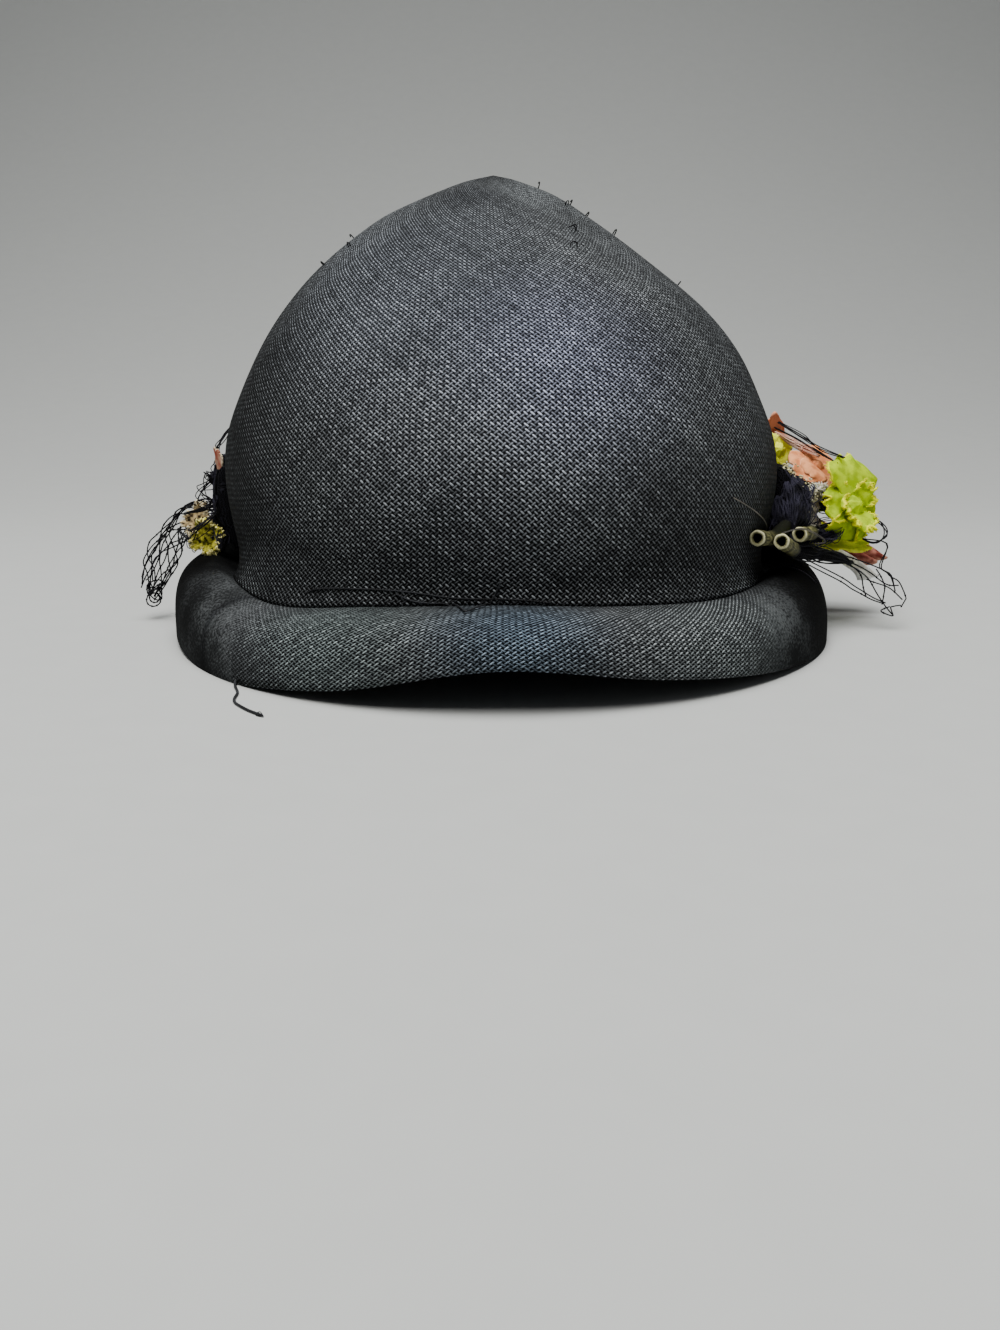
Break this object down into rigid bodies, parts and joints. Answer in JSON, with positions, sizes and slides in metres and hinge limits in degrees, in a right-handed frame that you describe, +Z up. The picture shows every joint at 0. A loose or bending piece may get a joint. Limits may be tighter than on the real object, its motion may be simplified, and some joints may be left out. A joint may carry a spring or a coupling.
{
  "type": "cocktail hat",
  "caption": "Small straw cocktail hat with a pointed crown, a narrow turned-down brim and a side trim of gathered net, cloth flowers and cut stems.",
  "frame": {"origin": "on the surface the hat rests on, below the middle of the head opening", "axes": "+Z up, +Y the way the wearer faces, +X the wearer's right, where the lime flower is"},
  "size_m": [0.2429, 0.2305, 0.1338],
  "materials": {
    "straw": "fine woven dyed straw, satin",
    "net": "matte millinery net",
    "lime_cloth": "matte frayed cloth",
    "coral_cloth": "smooth matte cloth",
    "yellow_cloth": "fuzzy matte cloth",
    "cream_cloth": "smooth matte cloth",
    "pink_cloth": "smooth matte cloth",
    "stem": "matte wrapped stem"
  },
  "bodies": {
    "root": {"crown": "straw", "brim": "straw", "net_band": "net", "lime_flower": "lime_cloth", "lime_leaf": "lime_cloth", "coral_flower": "coral_cloth", "coral_bud": "coral_cloth", "yellow_flower": "yellow_cloth", "white_flower": "cream_cloth", "pink_petal": "pink_cloth", "pale_petal": "cream_cloth", "stem_1": "stem", "stem_2": "stem", "stem_3": "stem", "net_tail_right": "net", "net_tail_left": "net", "left_floret_1": "yellow_cloth", "left_floret_2": "cream_cloth", "left_bud": "coral_cloth"}
  },
  "joints": []
}
